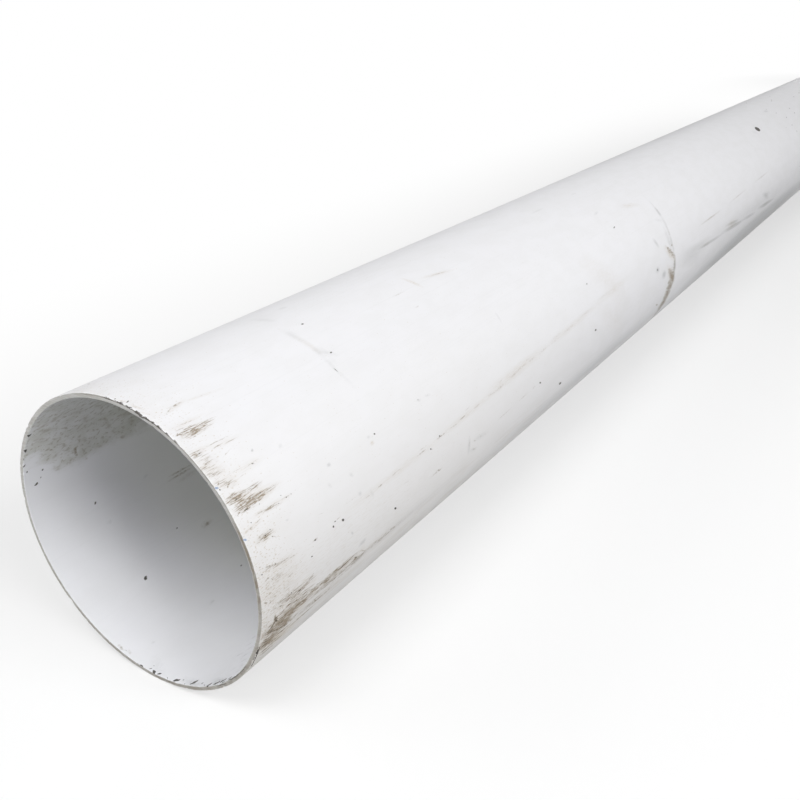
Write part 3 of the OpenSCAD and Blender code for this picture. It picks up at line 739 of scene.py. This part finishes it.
BORE_HAZE = [
    (57, 190.8, 60.6, 191.2, 2.6, 80), (10, 146, 60, 156, 40, 20), (0, 176, 8, 186, 8, 40),
    (0, 138, 5, 150, 8, 130), (25, 150, 28, 149, 2.8, 80), (30, 146.6, 32, 146, 2.4, 80),
    (33, 152, 35, 151, 2.8, 80), (27, 154, 29, 153.4, 2.6, 80), (37, 155.6, 39, 155, 2.6, 70),
    (20, 146, 23, 144.6, 2.4, 70), (12, 146, 15, 145, 2.2, 60), (42, 158, 45, 157, 3, 60),
    (0, 154, 4, 166, 7, 110), (41, 246, 43, 246, 2.4, 60), (0, 130, 14, 140, 9, 50),
    (74, 255, 77, 256, 3, 50), (15, 192.6, 16.4, 192.6, 1.8, 50), (14, 140, 18, 144, 2.4, 50),
    (22, 148, 24, 149, 2.2, 50), (8, 137, 10, 139, 2, 60), (28, 152, 30, 153, 2, 40),
]


def bore_material(low, high):
    web = Web(bpy.data.materials.new(f"pvc_bore_from_{low:.0f}"))
    along, around, flat = unrolled(web, bore=True)
    ragged = warped(web, flat, 2, (1.6, 0.9, 0), 5)
    grain = web.noise(flat, (3.4, 2), 11, detail=3, rough=0.65)
    cloud = web.noise(flat, (17, 8.5), 14, detail=3, rough=0.6)
    mottle = web.noise(flat, (50, 30), 12, detail=3)
    drawn = web.noise(flat, (400, 1.4), 13)

    # A drab olive film clings to the upper side, thickest at each end. Further in, painted shade tints the
    # bore a little darker and yellower, for the warm shade deep inside.
    from_end = nearest_end(web, along)
    spread = web.ramp(from_end, 4, 24, 0, 12 * ARC)
    place = web.math("ADD", web.scaled(cloud, 14, around), spread)
    side = web.times(web.ramp(place, 291 * ARC, 300 * ARC), web.ramp(place, 352 * ARC, 330 * ARC))
    depth = web.times(web.ramp(from_end, 260, 60, 0.3, 1), web.ramp(from_end, -6, 8, 0.6, 1))
    blotched = web.ramp(cloud, 0.35, 0.65, 0.27, 0.46)
    film = web.times(web.times(side, depth), blotched)
    slant, pivot = 0.35, 240 * ARC
    slanted = web.scaled(around, slant, web.minus(from_end, pivot * slant))
    deep_painted_shade = web.ramp(slanted, 45, 105)
    crumbs = web.times(web.ramp(grain, 0.52, 0.7, 0, 0.38), side)

    uneven = web.ramp(grain, 0.36, 0.62, 0.3, 1)
    spots = web.times(web.strokes(ragged, BORE_SPOTS, low, high), uneven, clamp=True)
    soot = web.ramp(web.strokes(ragged, BORE_SOOT, low, high), 0.2, 0.6, 0, 0.97)
    haze = web.times(web.strokes(ragged, BORE_HAZE, low, high), uneven, clamp=True)
    colour = web.layered(
        BORE_PLASTIC_PAINTED_LIGHTER,
        (web.ramp(mottle, 0.35, 0.7), BORE_MOTTLE_PAINTED_LIGHTER),
        # painted shade: darker and yellower further into the bore
        (deep_painted_shade, BORE_DEEP_PAINTED_SHADE),
        (web.ramp(drawn, 0.6, 0.75, 0, 0.03), HAZE_AND_SHADE_GREY),
        (film, FILM),
        (web.times(haze, 0.5), HAZE_AND_SHADE_GREY),
        (web.larger(crumbs, web.times(spots, 0.8)), OLIVE),
        (soot, SOOT_AND_SHADOW),
    )
    height = web.math("ADD", web.times(drawn, 0.008), web.times(web.noise(flat, (9, 6), 15), 0.03))
    return finish(web, colour, satin(web, mottle, film), height)


# ---- sawn ends

SAWN_PLASTIC = (0.64, 0.635, 0.62, 1)
SAWN_SHADE = (0.53, 0.52, 0.49, 1)
SAWN_DIRT = (0.25, 0.21, 0.16, 1)
# Brown for the dark line of dirt and painted shadow along the top of the near face.
EDGE_DIRT_AND_SHADOW = (0.2, 0.155, 0.11, 1)

# On a sawn face a mark's s is its depth into the wall from the outside.
NEAR_FACE_SOOT_AND_SHADOW = [
    # The rows round the top, from phi -3 to 33, are a dark line of dirt and painted shadow under the chipped
    # outer edge.
    (0.5, -3, 0.8, 4, 0.9, 110), (0.6, 4, 0.3, 8, 1, 130), (0.3, 8, 0.6, 11.5, 1, 150),
    (0.6, 11.5, 1, 14, 1.2, 180), (1.1, 13.6, 1.1, 16.2, 1.6, 240), (1, 16, 0.7, 19, 1.1, 160),
    (0.6, 19, 0.5, 21.4, 1, 150), (0.7, 21.4, 0.4, 24.4, 1, 150), (0.4, 24, 0.3, 28, 0.9, 120),
    (0.5, 28, 0.5, 33, 0.7, 80), (0.6, -16, 0.6, -4, 0.5, 50), (0.1, -25, 0.5, -23.4, 1, 100),
    (0.8, 40, 0.7, 50, 0.5, 50), (0.1, 107, 0.3, 118, 1.1, 160), (1.7, 119, 2, 131, 0.8, 80),
    (2, 128, 2.1, 136, 1, 140), (1.5, 136, 1.8, 146, 0.8, 80), (1.2, 166, 1.6, 178, 0.8, 60),
    (0.2, 205, 0.4, 216, 0.8, 70), (0.2, -152, 0.4, -140, 0.8, 80),
]
FAR_FACE_SOOT = [
    (0.1, -16, 0.5, -12, 1.1, 100), (0.1, 62, 0.6, 66, 1.2, 110), (0.1, 30, 0.4, 32, 0.9, 90),
    (0.1, 120, 0.4, 128, 0.9, 100), (0.1, -72, 0.4, -68, 0.9, 90), (0.1, -120, 0.6, -114, 1.1, 100),
    (1.2, 150, 1.6, 168, 0.9, 70),
]


def sawn_material(name, marks):
    web = Web(bpy.data.materials.new(name))
    place, _, y, z = web.axes()
    height = web.scaled(z, 1 / MM, -NEAR_END.z / MM)
    side = web.times(y, -1 / MM)
    radius = web.math("SQRT", web.scaled(height, height, web.times(side, side)))
    around = web.times(web.math("ARCTAN2", side, height), OUTER)
    flat = web.node("CombineXYZ", {0: web.minus(OUTER, radius), 1: around})
    in_mm = web.node("VectorMath", {0: place, 1: (1 / MM,) * 3}, operation="MULTIPLY")
    kerf = web.noise(in_mm, (40, 26, 0.5), 21, detail=3, rough=0.6)
    blotch = web.noise(in_mm, (8, 5, 5), 22, detail=3)
    fray = web.noise(in_mm, (1, 1.2, 1.2), 23)
    frayed = web.scaled(fray, 0.6, radius)

    # A dark line of dirt and painted shadow near the outside along the top, under the chipped edge, and dirt
    # low down and where the end was dragged. It lies thinner by both edges.
    line = web.ramp(web.size(web.minus(frayed, OUTER - 0.4)), 0.1, 0.45, 0.5, 0)
    rim_line_dirt_and_shadow = web.times(line, web.times(web.ramp(height, 30, 55), web.ramp(side, -30, 0)))
    low = web.times(web.ramp(height, 20, -55, 0.04, 0.62), web.ramp(side, -80, 0, 0.7, 1, smooth=False))
    dragged = web.ramp(around, 57 * ARC, 66 * ARC, 0, 0.95)
    dragged = web.times(dragged, web.ramp(around, 100 * ARC, 82 * ARC, 0.62, 1))
    dirty = web.times(web.larger(low, dragged), web.ramp(blotch, 0.35, 0.6, 0.55, 1))
    kept = web.ramp(radius, BORE + 0.3, BORE + 0.9, 0.25, 1)
    kept = web.times(kept, web.ramp(frayed, OUTER - 0.5, OUTER + 0.2, 1, 0.55))
    dirty = web.times(dirty, kept)
    # soot, and on the near face a line of dirt and painted shadow under the chipped outer edge
    soot = web.ramp(web.strokes(warped(web, flat, 1.2, (0.5, 0.9, 0), 4), marks), 0.15, 0.6, 0, 0.85)
    colour = web.layered(
        SAWN_PLASTIC,
        (web.ramp(kerf, 0.4, 0.62), SAWN_SHADE),
        (dirty, SAWN_DIRT),
        # a dark line of dirt and painted shadow near the outside along the top
        (rim_line_dirt_and_shadow, EDGE_DIRT_AND_SHADOW),
        (soot, SOOT_AND_SHADOW),
    )
    height = web.math("ADD", web.times(kerf, 0.12), web.times(fray, 0.05))
    return finish(web, colour, web.ramp(blotch, 0.3, 0.7, 0.6, 0.75), height)


# ---- the piece, the studio, the camera

def add_object(name, data):
    made = bpy.data.objects.new(name, data)
    bpy.context.scene.collection.objects.link(made)
    return made


def add_pipe():
    mesh = pipe_mesh()
    for low, high in zip(OUTSIDE_ZONES, OUTSIDE_ZONES[1:]):
        mesh.materials.append(outside_material(low, high))
    for low, high in zip(BORE_ZONES, BORE_ZONES[1:]):
        mesh.materials.append(bore_material(low, high))
    mesh.materials.append(sawn_material("pvc_sawn_near", NEAR_FACE_SOOT_AND_SHADOW))
    mesh.materials.append(sawn_material("pvc_sawn_far", FAR_FACE_SOOT))
    pipe = add_object("pvc_pipe_wall", mesh)
    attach(pipe, "root")
    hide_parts("downpipe")


WHITE = (1, 1, 1, 1)
FLOOR_PALE = (0.92, 0.92, 0.92, 1)
FLOOR_RETURN = (0.28, 0.28, 0.28, 1)
GLOW = 0.1


def background_rays(web):
    """1 for the rays that show the background: the camera's own, and those by way of a gloss or of glass."""
    path = web.node("LightPath")
    glossy = path.node.outputs["Is Glossy Ray"]
    transmission = path.node.outputs["Is Transmission Ray"]
    return web.math("ADD", web.math("ADD", path, glossy), transmission, clamp=True)


def floor_material():
    """Pale where the camera sees it, fading to plain white away from the pipe, and greyer for the light
    it returns."""
    web = Web(bpy.data.materials.new("studio_floor"))
    near_white, all_white = 0.1, 0.6  # m from the pipe's axis
    _, along, across, _ = web.axes()
    past_end = web.larger(web.minus(web.size(along), LENGTH * MM / 2), 0)
    distance = web.math("SQRT", web.scaled(past_end, past_end, web.times(across, across)))
    seen = background_rays(web)
    lit = web.node("BsdfDiffuse", {"Color": web.mix(seen, FLOOR_RETURN, FLOOR_PALE)})
    white = web.node("Emission", {"Color": WHITE, "Strength": 1})
    share = web.times(web.ramp(distance, near_white, all_white, 0.5, 1), seen)
    surface = web.node("MixShader", {0: share, 1: lit, 2: white})
    web.node("OutputMaterial", {"Surface": surface})
    return web.holder


def add_floor():
    mesh = bpy.data.meshes.new("studio_floor")
    half = 60  # m
    corners = [(-half, -half, 0), (half, -half, 0), (half, half, 0), (-half, half, 0)]
    mesh.from_pydata(corners, [], [(0, 1, 2, 3)])
    mesh.materials.append(floor_material())
    add_object("studio_floor", mesh)


LAMPS = [  # name, place in m, aimed at, size in m, spread in degrees, watts
    ("near_side", (-1.6, -2.2, 1.4), (-1.3, 0, 0.1), (1.6, 1.2), 180, 43.4),
    ("far_side", (-1, 2.6, 1.8), (-0.8, 0, 0.1), (2.4, 1.4), 180, 13.7),
    ("over_mouth", (-2.6, 0, 2.2), (-1.5, 0, 0.08), (1.2, 1.2), 180, 24.7),
    ("big_side", (-1.2, -4.5, 2.6), (-1, 0, 0.1), (5, 3), 180, 39.5),
    ("left_corner", (-3.6, 3.4, 2.8), (-1.3, 0, 0.08), (2.5, 2), 180, 33.5),
    ("before_mouth", (-4, -0.2, 1.2), (-1.5, 0, 0.08), (1.6, 1.2), 180, 17.3),
    ("far_half_front", (1.2, -1.5, 1.8), (1.15, 0, 0.1), (0.8, 0.8), 50, 2.4),
    ("far_half_back", (1.1, 1.8, 1.2), (1.05, 0, 0.1), (0.8, 0.8), 50, 2.4),
    ("before_far_end", (3.6, 0.5, 0.9), (1.5, 0, 0.08), (0.6, 0.6), 20, 1),
]


def add_lamps():
    for name, place, aim, size, spread, watts in LAMPS:
        data = bpy.data.lights.new(name, "AREA")
        data.shape = "RECTANGLE"
        data.size, data.size_y = size
        data.spread = math.radians(spread)
        data.energy = watts
        lamp = add_object(name, data)
        lamp.location = place
        lamp.rotation_euler = (Vector(place) - Vector(aim)).to_track_quat("Z", "Y").to_euler()
        lamp.visible_camera = False


def add_world():
    """White behind everything the camera sees, and an even, plain studio glow for the rest."""
    web = Web(bpy.data.worlds.new("studio"))
    glow = web.node("Background", {"Color": WHITE, "Strength": GLOW})
    white = web.node("Background", {"Color": WHITE, "Strength": 1})
    surface = web.node("MixShader", {0: background_rays(web), 1: glow, 2: white})
    web.node("OutputWorld", {"Surface": surface})
    bpy.context.scene.world = web.holder


def add_camera():
    """The photograph's viewpoint: close to the near end, above it and on the -Y side."""
    data = bpy.data.cameras.new("photo_camera")
    data.sensor_width = 36
    data.lens = 40.6
    data.shift_x, data.shift_y = -0.0096, 0.0629
    data.clip_end = 200
    place = Vector((-2.906, -3.780, 3.065))  # in outside radii, from the middle of the near end
    looks_down, off_axis = 28.13, 32.28  # degrees, the second to the left of the pipe's axis
    camera = add_object("photo_camera", data)
    camera.location = NEAR_END + place * OUTER * MM
    camera.rotation_euler = (math.radians(90 - looks_down), 0, math.radians(off_axis - 90))
    bpy.context.scene.camera = camera


add_pipe()
add_floor()
add_lamps()
add_world()
add_camera()
bpy.context.scene.view_settings.view_transform = "Standard"
